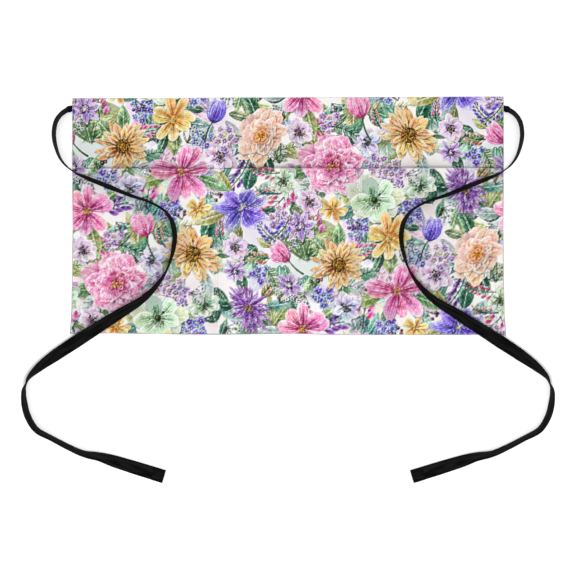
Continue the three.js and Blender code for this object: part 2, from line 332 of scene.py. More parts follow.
def sew(bm, start, end, place):
    """A row of stitches between two marks: one ball, copied along it and laid in place."""
    start, end = Vector(start), Vector(end)
    count = max(2, round((end - start).length / STITCH_PITCH))
    step = (end - start) / count
    sewn = len(bm.verts)
    shape = Matrix.Diagonal((STITCH_LONG / 2, THREAD / 2, THREAD / 2, 1))
    turned = step.to_track_quat("X", "Z").to_matrix().to_4x4() @ shape
    first = Matrix.Translation(start + step / 2) @ turned
    bmesh.ops.create_uvsphere(bm, u_segments=8, v_segments=5, radius=1, matrix=first)
    bm.verts.ensure_lookup_table()
    ball = bm.verts[sewn:]
    edges = {edge for vertex in ball for edge in vertex.link_edges}
    faces = {face for vertex in ball for face in vertex.link_faces}
    bmesh.ops.spin(bm, geom=[*ball, *edges, *faces], cent=start, axis=(0, 0, 1), dvec=step, angle=0,
                   steps=count - 1, use_duplicate=True)
    bm.verts.ensure_lookup_table()
    row = bm.verts[sewn:]
    for vertex, point in zip(row, place(*np.array([v.co for v in row]).T)):
        vertex.co = point * MM


fold_threads = []
for name, mirror in HANDS.items():
    bm = bmesh.new()
    for away in FOLD_ROWS:
        mark = bend[-1] - away * ahead + up * TAPE / 2
        reach = wide * (TAPE_WIDE / 2 - ROW_INSET)
        sew(bm, mark - reach, mark + reach, lambda x, y, z: np.column_stack([mirror * x, y, z]))
    thread = finished(name + "_fold_stitches", bm)
    fold_threads.append(thread)
    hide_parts(name)
    print(name, "fold's stitches have faces:", len(thread.data.polygons))

# %% [markdown]
# ## The print: paint and brushes
# The cloth carries an all-over flower print. No picture is loaded for it: one repeat of the
# print is painted here, the way a textile painter works, on a fine grid of points. Colours are
# mixed as the eye sees them, because that is how paint was chosen, and turned linear at the end
# by the one function that the materials use too. The repeat joins itself on all sides, and
# each next column drops by half, which hides the repeat on the cloth.

# %% Paint, noise and brush
GRID = 0.5
REPEAT_WIDE, REPEAT_HIGH = 300, 330
COLUMNS, ROWS = int(REPEAT_WIDE / GRID), int(REPEAT_HIGH / GRID)
chance = np.random.default_rng(41)


def paint(code):
    """A hex colour as the eye sees it."""
    return np.array([int(code[i : i + 2], 16) / 255 for i in (1, 3, 5)])


def linear(colour):
    """A hex code, or an array of colours as seen, in the linear values that shaders take."""
    seen = paint(colour) if isinstance(colour, str) else colour
    return np.where(seen <= 0.04045, seen / 12.92, ((seen + 0.055) / 1.055) ** 2.4)


canvas = np.ones((ROWS, COLUMNS, 3)) * paint("#faf8f6")


def cloud(size, seed):
    """Smooth noise over the repeat, about -1 to 1, with blots of a size; its edges join."""
    noise = np.fft.rfft2(np.random.default_rng(seed).standard_normal((ROWS, COLUMNS)))
    pitch = np.hypot(np.fft.rfftfreq(COLUMNS, GRID), np.fft.fftfreq(ROWS, GRID)[:, None])
    field = np.fft.irfft2(noise * np.exp(-((pitch * size) ** 2)), s=(ROWS, COLUMNS))
    return field / (2 * field.std())


washes, blots, grain = cloud(30, 3), cloud(8, 1), cloud(1.4, 2)


def points_at(i, j):
    """Indices into the canvas of grid columns and rows counted on past the repeat's edges."""
    return (j + i // COLUMNS * (ROWS // 2)) % ROWS, i % COLUMNS + 0 * j


def near(x, y, reach):
    """Canvas indices of the points round a place, and their offsets from it."""
    i = np.arange(int((x - reach) // GRID), int((x + reach) // GRID) + 2)
    j = np.arange(int((y - reach) // GRID), int((y + reach) // GRID) + 2)[:, None]
    return points_at(i, j), i * GRID - x, j * GRID - y


def rise(low, high, value):
    share = ramp(low, high, value)
    return share * share * (3 - 2 * share)


def lay(where, colour, cover):
    canvas[where] += (colour - canvas[where]) * np.clip(cover, 0, 1)[..., None]


def varied(code, amount=0.05):
    """A paint a little lighter or darker than its code, and a little off its hue."""
    colour = paint(code) * (1 + amount * chance.standard_normal())
    return np.clip(colour + 0.4 * amount * chance.standard_normal(3), 0.02, 1)


def heading(angle):
    return np.array([np.cos(angle), np.sin(angle)])


print("painting grid:", COLUMNS, "x", ROWS)

# %% [markdown]
# ## One petal
# Nearly everything in a flower print is a petal or a leaf, so one brush paints them all. Its
# outline is a sine bent towards its widest place. Like a watercolour it has three paints: wet,
# deep colour gathers at the root, along the streaks and on the side away from the light, and
# the lips stay pale. Colour dries darker along the rim, and a faint shadow falls on paint under
# the petal, but not on bare cloth.

# %% Petal brush
LIGHT = np.array([-0.6, 0.8])
SHADOW = np.array([0.1, 0.085, 0.065])
SHADOW_SHIFT = (-4, 3)
BROAD_STREAKS, FINE_STREAKS = 3.3, 6.1
BLOTCH, GRAIN, VEIN, RIM_DEPTH, OUTLINE, COVER = 0.16, 0.12, 0.1, 0.4, 0.08, 0.97


def petal(x, y, turn, length, width, codes, widest=0.6, point=0.5, ruffle=0.0, notch=0.0,
          streak=0.34, ribs=0.0, midrib=0.3, form=0.12, fade=0.74, change=0.05):
    """Paints a petal from its root in deep, middle and pale paint; ribs spaces a leaf's veins."""
    deep, mid, pale = (varied(code, change) for code in codes)
    ahead = heading(turn)
    middle_at = np.array([x, y]) + ahead * length / 2
    where, dx, dy = near(*middle_at, 0.56 * length + 0.3 * width + 4)
    along = (dx * ahead[0] + dy * ahead[1]) / length + 0.5
    off = dy * ahead[0] - dx * ahead[1] - chance.normal(0, 0.1) * length * along * np.abs(along)
    along = along + ruffle * (0.5 * np.sin(off / width * 9 + x) + 0.3 * np.sin(off / width * 21 + y))
    part = np.clip(along, 1e-3, 0.999)
    half = width / 2 * np.sin(np.pi * part ** (np.log(0.5) / np.log(widest))) ** (0.35 + point)
    half = half * (1 - notch * np.exp(-(((1 - part) / 0.07) ** 2) - (off / (0.2 * width)) ** 2))
    inside = np.where((along > 0) & (along < 1), half - np.abs(off), -9.0)
    slant = np.clip(off / np.maximum(half, 0.4), -1, 1)
    side = np.abs(slant)
    body = rise(-0.4, 0.4, inside)

    broad, fine = chance.uniform(0, 2 * np.pi, 2)
    streaks = 0.6 * np.cos(slant * np.pi * BROAD_STREAKS + broad)
    streaks = streaks + 0.7 * np.cos(slant * np.pi * FINE_STREAKS + fine)
    wet = 0.03 + fade * (1 - part) ** 0.9 + 0.26 * (1 - side**2) * (1 - 0.6 * part)
    wet = wet * (1 - 0.5 * side**3 * rise(0.05, 0.35, part))
    wet = wet + streak * streaks * (1 - 0.5 * side) * (1.15 - part)
    wet = wet + BLOTCH * blots[where] + GRAIN * grain[where]
    wet = wet - form * slant * (LIGHT @ (-ahead[1], ahead[0]))
    if ribs:
        veins = np.cos((along * length - 1.1 * np.abs(off)) * 2 * np.pi / ribs)
        wet = wet + VEIN * veins * (1 - side) ** 0.5
    wet = wet + midrib * np.exp(-((off / 0.8) ** 2)) * rise(1, 0.4, part)
    to_mid, to_deep = ramp(0, 0.5, wet)[..., None], ramp(0.5, 1, wet)[..., None]
    colour = pale + (mid - pale) * to_mid + (deep - mid) * to_deep
    dried = rise(1.3, 0.1, inside) * (0.55 + 0.45 * np.clip(grain[where] + blots[where], -1, 1))
    colour = np.clip(colour, 0, 1) ** (1 + RIM_DEPTH * dried)[..., None]

    cast = np.roll(inside, SHADOW_SHIFT, axis=(0, 1))
    painted = rise(1.0, 0.8, canvas[where].min(axis=-1))
    canvas[where] *= 1 - SHADOW * (painted * rise(-2.6, 1.8, cast))[..., None]
    outline = np.clip(rise(-1.0, 0.1, inside) - body, 0, 1) * (0.8 + 0.6 * blots[where])
    lay(where, deep**1.6 * 0.7, OUTLINE * outline)
    lay(where, colour, COVER * body)


print("light in the print comes from, degrees:", round(np.degrees(np.arctan2(*LIGHT[::-1]))))

# %% [markdown]
# ## From petals to flowers
# A flower is rings of petals round a heart of dots or stamens. Few flowers in a painting face
# the viewer squarely, so each is tipped: its face is narrowed along one direction.

# %% Dots, lines and rings of petals
GOLDEN_TURN = 2.39996


def dot(x, y, radius, colour, cover=1.0, shine=None):
    where, dx, dy = near(x, y, radius + 1.5)
    lay(where, colour, cover * rise(radius + 0.5, radius - 0.5, np.hypot(dx, dy)))
    if shine is not None:
        gleam = np.hypot(dx + 0.3 * radius, dy - 0.3 * radius)
        lay(where, shine, 0.8 * rise(0.8 * radius, 0.1 * radius, gleam))


def stroke(start, end, bow, width, colour, cover=0.9):
    """A line that bows to its left and thins to its end; gives back places along it."""
    start, reach = np.array(start, float), np.subtract(end, start)
    share = np.linspace(0, 1, max(6, int(np.hypot(*reach) / 0.8)))[:, None]
    line = start + reach * share + np.array([-reach[1], reach[0]]) * bow * 4 * share * (1 - share)
    for place, gone in zip(line, share[:, 0]):
        dot(*place, width * (1 - 0.5 * gone) / 2, colour, cover)
    return line


def bloom(x, y, radius, turn, rings, tipped=False, **style):
    """Rings of petals from the outermost in; a ring is its reach, petals, breadth and paints."""
    facing = heading(2.4 * turn + 0.5)
    narrowed = 0.32 - 0.24 * np.sin(7 * turn) ** 2 if tipped else 0
    for step, (reach, count, broad, codes) in enumerate(rings):
        for k in chance.permutation(count):
            even = (k + 0.5 * (step % 2)) * 2 * np.pi / count
            angle = turn + even + chance.normal(0, 0.35 / count**0.5)
            length, width = radius * chance.uniform(0.86, 1.08, 2) * (reach, broad)
            ahead, beside = heading(angle), heading(angle + np.pi / 2)
            ahead = ahead - narrowed * (ahead @ facing) * facing
            beside = beside - narrowed * (beside @ facing) * facing
            length, width = length * np.hypot(*ahead), width * np.hypot(*beside)
            petal(x, y, np.arctan2(ahead[1], ahead[0]), length, width, codes, **style)


def seeds(x, y, radius, count, size, codes):
    """Dots packed in a spiral, as in the middle of a daisy."""
    for k in range(count):
        place = np.array([x, y]) + radius * np.sqrt((k + 0.5) / count) * heading(k * GOLDEN_TURN)
        dot(*place, size, varied(chance.choice(codes), 0.1))


def stamens(x, y, radius, count, thread, head):
    for _ in range(count):
        end = np.array([x, y]) + radius * chance.uniform(0.45, 1) * heading(chance.uniform(0, 2 * np.pi))
        stroke((x, y), end, chance.normal(0, 0.1), 0.8, varied(thread), 0.8)
        dot(*end, 1.0, varied(head))


print("turn from one seed to the next, degrees:", round(np.degrees(GOLDEN_TURN), 1))

# %% [markdown]
# ## Garden flowers
# The print mixes common garden flowers in pink, gold, violet and pale green, 60 to 100 mm
# across, with small ones between. Each is a recipe of petal rings and a heart. The paints go
# from deep through middle to pale.

# %% Large flowers
ROSE = ("#b92e78", "#ef96c2", "#fff5fa")
ROSE_HEART = ("#8c2459", "#d8679f", "#f6bfd8")
PEACH = ("#c4705a", "#f0c4ac", "#fdf2e8")
PEACH_HEART = ("#b8563c", "#eda27c", "#fbdcc0")
GOLD = ("#9a4e34", "#ebc084", "#fcf1d8")
VIOLET = ("#5237ae", "#a08ae6", "#f7f3ff")
PURPLE = ("#62288e", "#a86ec4", "#e9d0ee")
MINT = ("#84a888", "#cfe2c8", "#fdfdf6")


def peony(x, y, r, turn, codes=ROSE, heart=ROSE_HEART):
    bloom(x, y, r, turn, [(1, 8, 0.8, codes), (0.86, 8, 0.68, codes)], True,
          widest=0.68, point=0.15, ruffle=0.06, notch=0.25, streak=0.26)
    rings = [(0.66, 9, 0.5, codes), (0.5, 9, 0.4, codes), (0.36, 8, 0.3, heart), (0.24, 6, 0.22, heart)]
    bloom(x, y, r, turn, rings, True, widest=0.66, point=0.2, ruffle=0.08)
    stamens(x, y, 0.16 * r, 14, "#d8a24a", "#f2c867")


def coneflower(x, y, r, turn):
    bloom(x, y, r, turn, [(1, 14, 0.27, GOLD), (0.92, 13, 0.27, GOLD), (0.74, 12, 0.22, GOLD)], True,
          point=0.35, notch=0.2, widest=0.62, streak=0.3, midrib=0.35)
    dot(x, y, 0.24 * r, paint("#3d1f1c"))
    seeds(x, y, 0.24 * r, int(5 * r), 0.7, ["#6b3a24", "#4b2620", "#b9772f", "#e0a850"])


def clematis(x, y, r, turn, codes=VIOLET):
    bloom(x, y, r, turn, [(1, 7, 0.52, codes)], True, widest=0.55, ruffle=0.03, midrib=0.4, streak=0.28)
    stamens(x, y, 0.28 * r, 26, "#f2ebc8", "#4a2458")


def aster(x, y, r, turn):
    rings = [(1, 27, 0.11), (0.86, 25, 0.11), (0.7, 22, 0.11), (0.52, 17, 0.1)]
    bloom(x, y, r, turn, [(*ring, PURPLE) for ring in rings], True, widest=0.66, point=0.3, form=0.3)
    seeds(x, y, 0.18 * r, 40, 0.8, ["#e0b552", "#b9832f", "#8a5a22"])


def anemone(x, y, r, turn, codes=MINT, heart="#33472f"):
    bloom(x, y, r, turn, [(1, 7, 0.66, codes), (0.84, 6, 0.6, codes)], True,
          widest=0.62, point=0.15, ruffle=0.04, streak=0.24)
    stamens(x, y, 0.34 * r, 26, "#71804f", heart)
    dot(x, y, 0.11 * r, paint(heart), shine=paint("#8ea06c"))


def cosmos(x, y, r, turn, codes=ROSE):
    bloom(x, y, r, turn, [(1, 8, 0.5, codes)], True,
          widest=0.68, point=0.12, notch=0.3, midrib=0.4, streak=0.3)
    seeds(x, y, 0.15 * r, 30, 0.8, ["#efc95a", "#a8702c", "#f7de8c"])


def tulip(x, y, r, turn, codes=ROSE):
    """A flower seen from the side, on its stem."""
    root = np.array([x, y]) - 0.5 * r * heading(turn)
    stroke(root - 0.9 * r * heading(turn), root, 0.06, 3.0, paint("#5f7d48"))
    for lean_out, reach in ((-0.42, 1.0), (0.42, 1.0), (-0.16, 1.12), (0.2, 1.1), (0.0, 1.0)):
        petal(*root, turn + lean_out, reach * r, 0.5 * r, codes,
              widest=0.5, point=0.35, midrib=0.4, streak=0.3)


cream_peony = partial(peony, codes=PEACH, heart=PEACH_HEART)
violet_tulip = partial(tulip, codes=VIOLET)
print("deep rose paint as seen and linear:", paint(ROSE[0]).round(3), linear(ROSE[0]).round(3))

# %% Small flowers in other shades
LEMON = ("#cc8640", "#f2d48c", "#fdf8e4")
LILAC = ("#9a74bc", "#d4bce4", "#fbf6fc")
SILVER = ("#9895b8", "#dad7ea", "#fdfcfe")
MAUVE = ("#b08ab0", "#e6cee4", "#fdf8fc")
BLUE = ("#4f63b8", "#a9b8ea", "#f0f4fe")
primrose = partial(cosmos, codes=LEMON)
lilac_star = partial(clematis, codes=LILAC)
silver_anemone = partial(anemone, codes=SILVER, heart="#3d4a58")
mauve_anemone = partial(anemone, codes=MAUVE, heart="#5a3350")


def posy(x, y, r, turn, shades=(BLUE, VIOLET), size=6.5):
    """A head of small five-petalled flowers."""
    count = int(1.6 * (r / size) ** 2)
    for k in range(count):
        away = r * np.sqrt((k + 0.5) / count) * heading(turn + k * GOLDEN_TURN)
        place = np.array([x, y]) + away + chance.normal(0, 0.8, 2)
        rings = [(1, 5, 0.85, shades[k % len(shades)])]
        reach = size * chance.uniform(0.85, 1.15)
        bloom(*place, reach, chance.uniform(0, 6), rings, widest=0.62, point=0.1)
        dot(*place, 0.17 * size, paint("#f0d070"))


lilac = partial(posy, shades=(LILAC, MAUVE))
reshaded = (primrose, lilac_star, silver_anemone, mauve_anemone, lilac)
print("in other shades:", [kind.func.__name__ for kind in reshaded])

# %% [markdown]
# ## Leaves, sprays and berries
# Leaves are petals with ribs and a pale midrib. Sprays set leaflets or buds in pairs along a
# stem, and fine white twigs bring in the smallest detail.

# %% Greenery between the flowers
WHITE = ("#8fa098", "#f0f4f1", "#ffffff")
LEAF_PAINT = {
    "green": ("#2c5638", "#7ea078", "#d6e2c4"),
    "deep": ("#0f382d", "#44806a", "#b5d4bd"),
    "teal": ("#1f5f5a", "#79b2a6", "#d9ebe2"),
    "lime": ("#6a763a", "#b3bb7e", "#eeefd0"),
    "grey": ("#6f938a", "#b9d0c8", "#f3f8f4"),
    "mint": ("#93b79c", "#cfe2d0", "#f7fbf4"),
    "dusk": ("#8084ad", "#cdcfe4", "#f7f7fc"),
    "rose": ("#b98aa6", "#ecd3e0", "#fdf6f9"),
}


def leaf(x, y, turn, length, width, kind):
    petal(x, y, turn, length, width, LEAF_PAINT[kind], widest=0.42, point=0.55, ribs=max(4.5, length / 7),
          midrib=-0.5, form=0.2, fade=0.5, streak=0.05)


def spray(x, y, length, turn, kind="green", buds=None, pairs=7):
    """A stem with pairs of leaflets, or of buds where they are given paints."""
    reach = length / 2 * heading(turn)
    stem = paint(LEAF_PAINT[kind][0])
    line = stroke(np.array([x, y]) - reach, np.array([x, y]) + reach, 0.08, 1.7, stem)
    for k in range(pairs):
        at = min(int((k + 0.6) / pairs * len(line)), len(line) - 2)
        onward = np.arctan2(*(line[at + 1] - line[at])[::-1])
        grown = length / pairs * (2.2 - 1.2 * k / pairs)
        for hand in (-1, 1):
            angle = onward + hand * chance.uniform(0.6, 0.95)
            if buds is None:
                leaf(*line[at], angle, grown, 0.42 * grown, kind)
                continue
            end = line[at] + 0.45 * grown * heading(angle)
            stroke(line[at], end, 0, 0.8, stem)
            petal(*end, angle - 0.3 * hand, 0.7 * grown, 0.42 * grown, buds,
                  widest=0.55, point=0.3, change=0.09)


def blades(x, y, r, turn):
    """A fan of long smooth leaves."""
    kind = chance.choice(["deep", "teal", "green", "deep", "lime"])
    for angle in turn + np.array([-0.75, 0.7, -0.3, 0.25, 0.0]) + chance.normal(0, 0.1, 5):
        leaf(x, y, angle, r * chance.uniform(0.75, 1.1), r * chance.uniform(0.17, 0.25), kind)


def leafy_spray(x, y, r, turn):
    spray(x, y, r, turn, chance.choice(["grey", "green", "teal", "lime"]))


def sprig(x, y, r, turn):
    kind = chance.choice(["green", "deep", "teal", "lime", "deep"])
    buds = [None, None, None, VIOLET, ROSE, PEACH][chance.integers(6)]
    spray(x, y, r, turn, kind, buds, pairs=6)


lavender = partial(spray, buds=PURPLE)
pink_buds = partial(spray, buds=ROSE)


def twigs(x, y, r, turn, count, spread):
    """Fine stems that spread from a root; gives back their ends."""
    ends = [np.array([x, y]) + r * chance.uniform(0.4, 1) * heading(turn + chance.uniform(-spread, spread))
            for _ in range(count)]
    for end in ends:
        stroke((x, y), end, chance.normal(0, 0.1), 0.9, paint("#445a40"))
    return ends


def berries(x, y, r, turn):
    for end in twigs(x, y, r, turn, 5, 0.9):
        code = chance.choice(["#5b2a4e", "#8a3a5c", "#3a2340"])
        dot(*end, chance.uniform(1.8, 2.8), varied(code), shine=paint("#d9a7c0"))


def white_twigs(x, y, r, turn):
    for end in twigs(x, y, r, turn, 10, 1.1):
        bloom(*end, 3.1, chance.uniform(0, 6), [(1, 5, 0.85, WHITE)], widest=0.62, point=0.1)
        dot(*end, 0.7, paint("#7a8a4a"))


print("leaf paints:", *LEAF_PAINT)

# %% [markdown]
# ## The repeat's chart
# The large flowers have set places. The fillers find their own: each takes the most open of
# some random places, which spreads them evenly without rows. Painting then goes from the back
# to the front: pale washes, faint leaves, sprays, the leaves under the flowers, small flowers,
# and the large ones last.

# %% Places for the flowers
BLOOMS = [  # kind, across, up, radius, turn
    (peony, 62, 70, 50, 0.2), (coneflower, 168, 112, 45, 0.1), (aster, 246, 36, 40, 0.0),
    (anemone, 120, 22, 42, 0.3), (clematis, 236, 176, 46, 0.4), (cosmos, 152, 226, 44, 0.2),
    (cosmos, 20, 172, 42, 0.7), (cream_peony, 262, 276, 46, 0.9), (coneflower, 70, 262, 42, 0.6),
    (primrose, 140, 300, 36, 1.0), (tulip, 98, 152, 34, 1.9), (violet_tulip, 200, 310, 32, 1.2),
    (tulip, 290, 112, 30, 2.4),
]
FILLERS = [  # kind, how many, room, least and greatest size
    (anemone, 2, 21, 20, 27), (lilac_star, 3, 20, 19, 25), (silver_anemone, 2, 20, 19, 25),
    (primrose, 2, 19, 18, 23), (mauve_anemone, 4, 19, 18, 25), (posy, 6, 13, 13, 17),
    (lilac, 5, 13, 13, 17), (blades, 16, 12, 38, 60), (leafy_spray, 4, 10, 55, 80),
    (lavender, 4, 10, 50, 70), (pink_buds, 4, 10, 50, 70), (berries, 6, 8, 16, 24),
    (sprig, 12, 7, 24, 40), (white_twigs, 10, 6, 18, 28),
]
AT_THE_BACK = (blades, leafy_spray, lavender, pink_buds)
TRIES = 60
repeat = np.array([REPEAT_WIDE, REPEAT_HIGH])
taken = [(x, y, 0.85 * r) for _, x, y, r, _ in BLOOMS]


def room_at(x, y):
    """How far a place is from the nearest flower, counting the repeats all round."""
    flowers = np.array(taken)
    laps = np.arange(-1, 2)[:, None]
    dx = flowers[:, 0] - x + laps * REPEAT_WIDE
    dy = (flowers[:, 1] - y - laps * REPEAT_HIGH / 2 + REPEAT_HIGH / 2) % REPEAT_HIGH - REPEAT_HIGH / 2
    return (np.hypot(dx, dy) - flowers[:, 2]).min()


fillers = []
for kind, count, room, least, greatest in FILLERS:
    for _ in range(count):
        x, y = max(chance.uniform(0, repeat, (TRIES, 2)), key=lambda place: room_at(*place))
        taken.append((x, y, room))
        fillers.append((kind, x, y, chance.uniform(least, greatest), chance.uniform(0, 6.3)))
print("flowers and sprays in a repeat:", len(BLOOMS) + len(fillers))

# %% Paint the repeat
BACK_LEAVES, BACK_LEAST, BACK_GREATEST = 70, (35, 14), (62, 24)
CRISPING, DRYING, LIVELY = 1.8, 1.46, 0.95
WASHES = [("#f3d7e3", 40, 60), ("#f1e2e4", 170, 40), ("#e4dcf0", 250, 160), ("#f6e8c8", 110, 190),
          ("#d9e6e3", 30, 250), ("#eddcea", 200, 280)]
WASH_REACH, WASH_EDGE, WASH_RAGGED, WASH_COVER = 80, (60, 18), 14, 0.5
for code, x, y in WASHES:
    where, dx, dy = near(x, y, WASH_REACH)
    ragged = np.hypot(dx, dy) + WASH_RAGGED * washes[where]
    lay(where, paint(code), WASH_COVER * rise(*WASH_EDGE, ragged))
for _ in range(BACK_LEAVES):
    kind = chance.choice(["mint", "grey", "dusk", "rose", "lime", "rose"])
    size = chance.uniform(BACK_LEAST, BACK_GREATEST)
    leaf(*chance.uniform(0, repeat), chance.uniform(0, 6.3), *size, kind)
for kind, *place in fillers:
    if kind in AT_THE_BACK:
        kind(*place)
for _, x, y, r, turn in BLOOMS:
    for angle in turn + np.arange(6) * np.pi / 3 + chance.normal(0, 0.25, 6):
        kind = chance.choice(["green", "deep", "teal", "grey", "lime"])
        size = r * chance.uniform((0.8, 0.32), (1.2, 0.46))
        leaf(*(np.array([x, y]) + 0.55 * r * heading(angle)), angle, *size, kind)
for kind, *place in fillers:
    if kind not in AT_THE_BACK:
        kind(*place)
for kind, *place in BLOOMS:
    kind(*place)
across_it, up_it = np.arange(COLUMNS), np.arange(ROWS)[:, None]
blurred = sum(canvas[points_at(across_it + i, up_it + j)] for i in (-2, 0, 2) for j in (-2, 0, 2)) / 9
canvas = np.clip(canvas + CRISPING * (canvas - blurred), 0, 1) ** DRYING
grey = canvas.mean(axis=2, keepdims=True)
canvas = np.clip(grey + LIVELY * (canvas - grey), 0, 1)
print("mean colour of the print, 0 to 255:", (canvas.mean(axis=(0, 1)) * 255).round())

# %% [markdown]
# ## The cloth's mesh
# The print needs a vertex for about every millimetre of the front, and the hidden back needs
# hardly any. So a coarse grid is extruded into a thin closed wall, and only its front is
# subdivided. Every vertex then moves from its flat place to where the cloth lies, and takes the
# print's colour there as an attribute. The wall's edge stays closed, as a turned hem is.

# %% Cut a cloth wall
def cloth_wall(name, low, high, cells, dense_above, cuts):
    """A flat closed wall between two corners; its front is fine above a height."""
    size, centre = np.subtract(high, low), np.add(high, low) / 2
    bm = bmesh.new()
    bmesh.ops.create_grid(bm, x_segments=cells[0], y_segments=cells[1], size=0.5)
    bmesh.ops.scale(bm, vec=(*size, 1), verts=bm.verts)
    bmesh.ops.translate(bm, vec=(*centre, 0), verts=bm.verts)
    raised = bmesh.ops.extrude_face_region(bm, geom=bm.faces[:], use_keep_orig=True)["geom"]
    bmesh.ops.translate(bm, vec=(0, 0, 1), verts=[v for v in raised if isinstance(v, bmesh.types.BMVert)])
    bmesh.ops.recalc_face_normals(bm, faces=bm.faces)
    fine = [f for f in bm.faces if f.normal.z > 0.5 and f.calc_center_median().y > dense_above]
    edges = list({edge for face in fine for edge in face.edges})
    bmesh.ops.subdivide_edges(bm, edges=edges, cuts=cuts, use_grid_fill=True)
    return finished(name, bm)


def read(data, what, width=1, kind=float):
    values = np.empty(len(data) * width, kind)
    data.foreach_get(what, values)
    return values.reshape(-1, width) if width > 1 else values


panel = cloth_wall("apron_panel_cloth", *PANEL_CORNERS, cells=(20, 11), dense_above=50, cuts=33)
pocket = cloth_wall("pocket_panel_cloth", *POCKET_CORNERS, cells=(39, 15), dense_above=POCKET_LOW, cuts=10)
print("faces of the panel and the pockets:", len(panel.data.polygons), len(pocket.data.polygons))

# %% [markdown]
# ## Laying and printing the cloth
# Sewing leaves its marks in cloth: it puckers along each line of stitches, and a turned edge is
# round. Both are small sums added to the height of the front. The print is read as the mean of
# four points, so that it doesn't look jagged. A second attribute marks the turned edges, where
# rubbing wears the print pale.

# %% Lay, print and map a cloth wall
STITCH_IN = 12
EDGE_ROUND, EDGE_DROP, EDGE_WORN = 1.6, 0.4, 1.5
PUCKER, PUCKER_LONG, PUCKER_WIDE = 0.13, 8.5, 4
SOFTEN = 0.3


def puckers(x, y):
    """Ripples of a fraction of a millimetre along the hem's stitches."""
    run = np.where(HALF_WIDE - np.abs(x) < HALF_HIGH - np.abs(y), y, x)
    off = (from_edge(x, y) - STITCH_IN) / PUCKER_WIDE
    return PUCKER * np.sin(run * 2 * np.pi / PUCKER_LONG) * np.exp(-(off**2))


def printed(x, y):
    """The print's linear colour at flat places."""
    total = 0
    for dy in (-SOFTEN, SOFTEN):
        j = np.floor((y + HALF_HIGH + dy) / GRID).astype(int)
        for dx in (-SOFTEN, SOFTEN):
            i = np.floor((x + HALF_WIDE + dx) / GRID).astype(int)
            total = total + canvas[points_at(i, j)] / 4
    return linear(total)


def lay_cloth(cloth, low, high, under, top):
    """Moves a wall to where it lies; gives back its flat places, and which are in front."""
    mesh = cloth.data
    flat = read(mesh.vertices, "co", 3)
    x, y, front = *flat[:, :2].T, flat[:, 2] > 0.5
    edge = np.minimum.reduce([x - low[0], high[0] - x, y - low[1], high[1] - y])
    facing_up = top(x, y) + puckers(x, y) - EDGE_DROP * ramp(EDGE_ROUND, 0, edge) ** 2
    place = np.column_stack([*laid_out(x, y), np.where(front, facing_up, under(x, y))])
    mesh.vertices.foreach_set("co", (place * MM).ravel())
    colour = np.column_stack([printed(x, y), np.ones(len(x))])
    mesh.color_attributes.new("print", "FLOAT_COLOR", "POINT").data.foreach_set("color", colour.ravel())
    mesh.attributes.new("wear", "FLOAT", "POINT").data.foreach_set("value", ramp(EDGE_WORN, 0, edge))
    mesh.update()
    return flat, front


panel_lie = lay_cloth(panel, *PANEL_CORNERS, panel_under, panel_top)
pocket_lie = lay_cloth(pocket, *POCKET_CORNERS, pocket_under, pocket_top)
print("pocket layer's top, mm:", round(max(v.co.z for v in pocket.data.vertices) / MM, 1))

# %% [markdown]
# ## A map for baking
# A UV map named OFBake lays the cloth on a square picture, to which its colours can be baked.
# The front gets most of the square, because all of the detail is there. The back has a band
# above it, and each of the four edges has a lane of its own at the top.

# %% Map the fronts, backs and edges
MARGIN, FRONT_BAND, BACK_FROM, BACK_BAND = 0.01, 0.62, 0.66, 0.22
LANES_FROM, LANE_STEP, LANE_WIDE = 0.92, 0.02, 0.012


def map_cloth(cloth, low, high, flat, front):
    mesh = cloth.data
    normals = read(mesh.polygons, "normal", 3)
    backs, edges = normals[:, 2] < -0.5, np.abs(normals[:, 2]) <= 0.5
    mesh.polygons.foreach_set("material_index", backs.astype(int))
    corner = read(mesh.loops, "vertex_index", kind=int)
    face = np.repeat(np.arange(len(mesh.polygons)), read(mesh.polygons, "loop_total", kind=int))
    u, v = ((flat[corner, :2] - low) / np.subtract(high, low)).T
    lane = np.select([normals[:, 1] > 0.5, normals[:, 1] < -0.5, normals[:, 0] > 0.5], [0, 1, 2], 3)[face]
    lane_v = LANES_FROM + LANE_STEP * lane + LANE_WIDE * front[corner]
    face_v = np.where(backs[face], BACK_FROM + BACK_BAND * v, MARGIN + FRONT_BAND * v)
    place_v = np.where(edges[face], lane_v, face_v)
    place_u = MARGIN + (1 - 2 * MARGIN) * np.where(edges[face] & (lane > 1), v, u)
    uv = mesh.uv_layers.new(name="OFBake")
    uv.data.foreach_set("uv", np.column_stack([place_u, place_v]).ravel())


map_cloth(panel, *PANEL_CORNERS, *panel_lie)
map_cloth(pocket, *POCKET_CORNERS, *pocket_lie)
print("mapped corners:", len(panel.data.loops), len(pocket.data.loops))

# %% [markdown]
# ## The apron's seams
# The hem's row goes all round and also catches the pocket layer. The mouth hem has a row of its
# own, the upright seams have two each, and a small oblong at each upper corner holds the tape
# behind it. The rows are marked out flat and follow the cloth where it lies.

ROW_CLEAR, MOUTH_ROW_IN, HALF_TWIN = 2, 3, 1.6
CORNER_BOX = [(295, 146.5), (270, 148), (270, 157.5), (295, 156), (295, 146.5)]


def thread_rows(name, rows, top):
    """Rows of stitches between flat places, laid on the cloth that has this top."""

    def on_cloth(x, y, z):
        return np.column_stack([*laid_out(x, y), z + top(x, y) + puckers(x, y)])

    bm = bmesh.new()
    for start, end in rows:
        sew(bm, (*start, 0), (*end, 0), on_cloth)
    made = finished(name, bm)
    print(name, "faces:", len(made.data.polygons))
    return made


